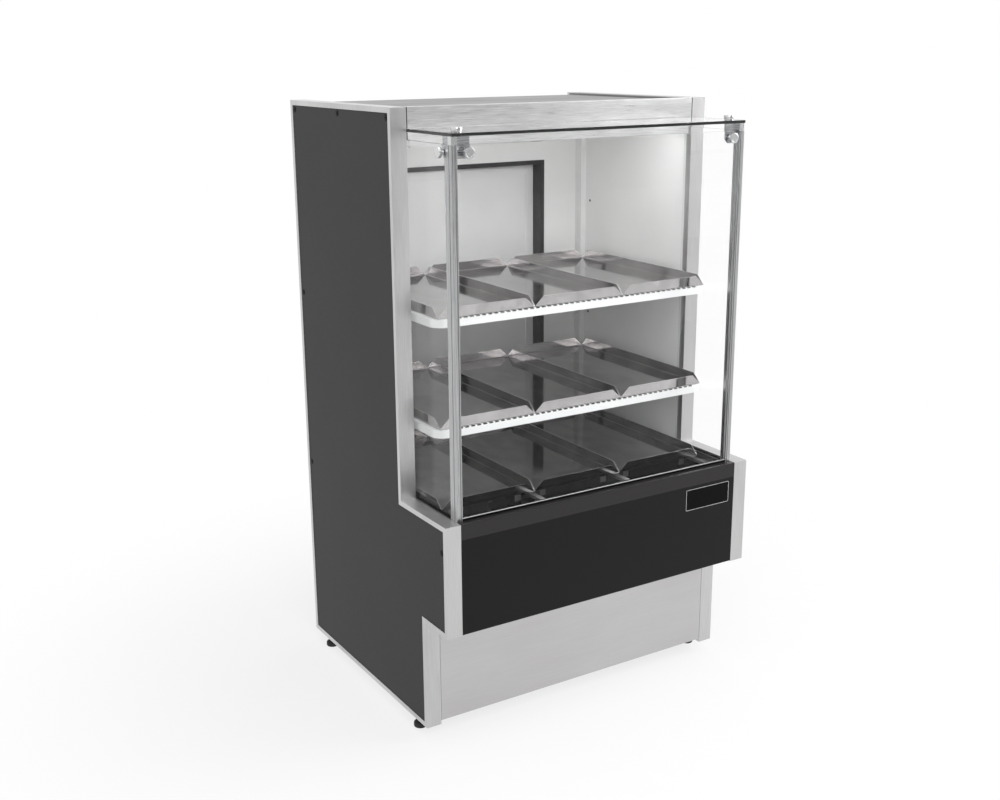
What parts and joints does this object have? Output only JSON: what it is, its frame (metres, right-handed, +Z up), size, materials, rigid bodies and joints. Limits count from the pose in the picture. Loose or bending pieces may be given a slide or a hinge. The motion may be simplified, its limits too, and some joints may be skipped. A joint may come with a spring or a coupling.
{
  "type": "refrigerated display counter",
  "caption": "Tall stepped refrigerated counter with a glass front box, inner shelves with lift-out steel trays and sliding rear doors.",
  "frame": {"origin": "on the floor under the middle of the counter's outline", "axes": "+X to the right seen from the customer's side, front faces -Y, +Z up"},
  "size_m": [0.8, 0.684, 1.336],
  "materials": {
    "white_liner": "white gloss",
    "graphite_panel": "matt graphite powder coat",
    "satin_steel": "satin",
    "brushed_steel": "brushed",
    "tray_steel": "polished",
    "black_apron": "black gloss",
    "black_plastic": "matt",
    "door_white": "satin",
    "clear_glass": "polished",
    "anodised_aluminium": "anodised satin",
    "screw_black": "black oxide",
    "lamp_diffuser": "opal",
    "black_rubber": "moulded",
    "compressor_black": "satin black",
    "coil_aluminium": "mill",
    "galvanised_steel": "galvanised",
    "copper": "drawn copper",
    "insulated_tub": "white"
  },
  "bodies": {
    "cabinet": {"roof_panel": "galvanised_steel", "ceiling": "white_liner", "top_fascia": "brushed_steel", "led_lamp": "lamp_diffuser", "back_wall": "white_liner", "rear_door_frame": "black_plastic", "side_panel_screws": "screw_black", "shelf_brackets": "white_liner", "base_deck": "satin_steel", "well_tub": "insulated_tub", "front_apron": "black_apron", "glazing_channel": "anodised_aluminium", "front_glass": "clear_glass", "top_glass": "clear_glass", "clamp_knobs": "anodised_aluminium", "kick_panel": "satin_steel", "base_floor": "galvanised_steel", "compressor": "compressor_black", "condenser_coil": "coil_aluminium", "condenser_fan_mount": "galvanised_steel", "evaporator_coil": "coil_aluminium", "evaporator_fan_mount": "galvanised_steel", "refrigerant_pipes": "copper", "condensate_pan": "black_plastic", "rear_service_panel": "galvanised_steel", "thermostat": "black_plastic", "power_switch_housing": "black_plastic", "cable_gland": "black_plastic", "shelf_upper": "white_liner", "shelf_lower": "white_liner", "side_frame_right": "satin_steel", "side_panel_right": "graphite_panel", "side_wall_right": "white_liner", "side_glass_right": "clear_glass", "corner_post_right": "anodised_aluminium", "corner_clamp_right": "anodised_aluminium", "side_frame_left": "satin_steel", "side_panel_left": "graphite_panel", "side_wall_left": "white_liner", "side_glass_left": "clear_glass", "corner_post_left": "anodised_aluminium", "corner_clamp_left": "anodised_aluminium"},
    "rear_door_left": {"rear_door_left": "door_white"},
    "rear_door_right": {"rear_door_right": "door_white"},
    "tray_upper_left": {"tray_upper_left": "tray_steel"},
    "tray_upper_middle": {"tray_upper_middle": "tray_steel"},
    "tray_upper_right": {"tray_upper_right": "tray_steel"},
    "tray_lower_left": {"tray_lower_left": "tray_steel"},
    "tray_lower_middle": {"tray_lower_middle": "tray_steel"},
    "tray_lower_right": {"tray_lower_right": "tray_steel"},
    "tray_base_left": {"tray_base_left": "tray_steel"},
    "tray_base_middle": {"tray_base_middle": "tray_steel"},
    "tray_base_right": {"tray_base_right": "tray_steel"},
    "foot_front_left": {"foot_front_left": "black_rubber"},
    "foot_front_right": {"foot_front_right": "black_rubber"},
    "foot_rear_left": {"foot_rear_left": "black_rubber"},
    "foot_rear_right": {"foot_rear_right": "black_rubber"},
    "condenser_fan": {"condenser_fan": "black_plastic"},
    "evaporator_fan": {"evaporator_fan": "black_plastic"},
    "power_switch_rocker": {"power_switch_rocker": "black_plastic"}
  },
  "joints": [
    {"name": "rear_door_left_slide", "type": "slide", "parent": "cabinet", "child": "rear_door_left", "axis": [1, 0, 0], "range_m": [0, 0.224]},
    {"name": "rear_door_right_slide", "type": "slide", "parent": "cabinet", "child": "rear_door_right", "axis": [-1, 0, 0], "range_m": [0, 0.224]},
    {"name": "tray_upper_left_lift", "type": "slide", "parent": "cabinet", "child": "tray_upper_left", "axis": [0, 0, 1], "range_m": [0, 0.06]},
    {"name": "tray_upper_middle_lift", "type": "slide", "parent": "cabinet", "child": "tray_upper_middle", "axis": [0, 0, 1], "range_m": [0, 0.06]},
    {"name": "tray_upper_right_lift", "type": "slide", "parent": "cabinet", "child": "tray_upper_right", "axis": [0, 0, 1], "range_m": [0, 0.06]},
    {"name": "tray_lower_left_lift", "type": "slide", "parent": "cabinet", "child": "tray_lower_left", "axis": [0, 0, 1], "range_m": [0, 0.06]},
    {"name": "tray_lower_middle_lift", "type": "slide", "parent": "cabinet", "child": "tray_lower_middle", "axis": [0, 0, 1], "range_m": [0, 0.06]},
    {"name": "tray_lower_right_lift", "type": "slide", "parent": "cabinet", "child": "tray_lower_right", "axis": [0, 0, 1], "range_m": [0, 0.06]},
    {"name": "tray_base_left_lift", "type": "slide", "parent": "cabinet", "child": "tray_base_left", "axis": [0, 0, 1], "range_m": [0, 0.06]},
    {"name": "tray_base_middle_lift", "type": "slide", "parent": "cabinet", "child": "tray_base_middle", "axis": [0, 0, 1], "range_m": [0, 0.06]},
    {"name": "tray_base_right_lift", "type": "slide", "parent": "cabinet", "child": "tray_base_right", "axis": [0, 0, 1], "range_m": [0, 0.06]},
    {"name": "foot_front_left_level", "type": "slide", "parent": "cabinet", "child": "foot_front_left", "axis": [0, 0, -1], "range_m": [0, 0.012]},
    {"name": "foot_front_right_level", "type": "slide", "parent": "cabinet", "child": "foot_front_right", "axis": [0, 0, -1], "range_m": [0, 0.012]},
    {"name": "foot_rear_left_level", "type": "slide", "parent": "cabinet", "child": "foot_rear_left", "axis": [0, 0, -1], "range_m": [0, 0.012]},
    {"name": "foot_rear_right_level", "type": "slide", "parent": "cabinet", "child": "foot_rear_right", "axis": [0, 0, -1], "range_m": [0, 0.012]},
    {"name": "condenser_fan_spin", "type": "hinge", "parent": "cabinet", "child": "condenser_fan", "pos_m": [0.18, 0.229, 0.14], "axis": [0, 1, 0], "continuous": true},
    {"name": "evaporator_fan_spin", "type": "hinge", "parent": "cabinet", "child": "evaporator_fan", "pos_m": [0, 0.046, 0.405], "axis": [0, 1, 0], "continuous": true},
    {"name": "power_switch_rock", "type": "hinge", "parent": "cabinet", "child": "power_switch_rocker", "pos_m": [-0.19, 0.3332, 0.266], "axis": [-1, 0, 0], "range_deg": [0, 14]}
  ]
}
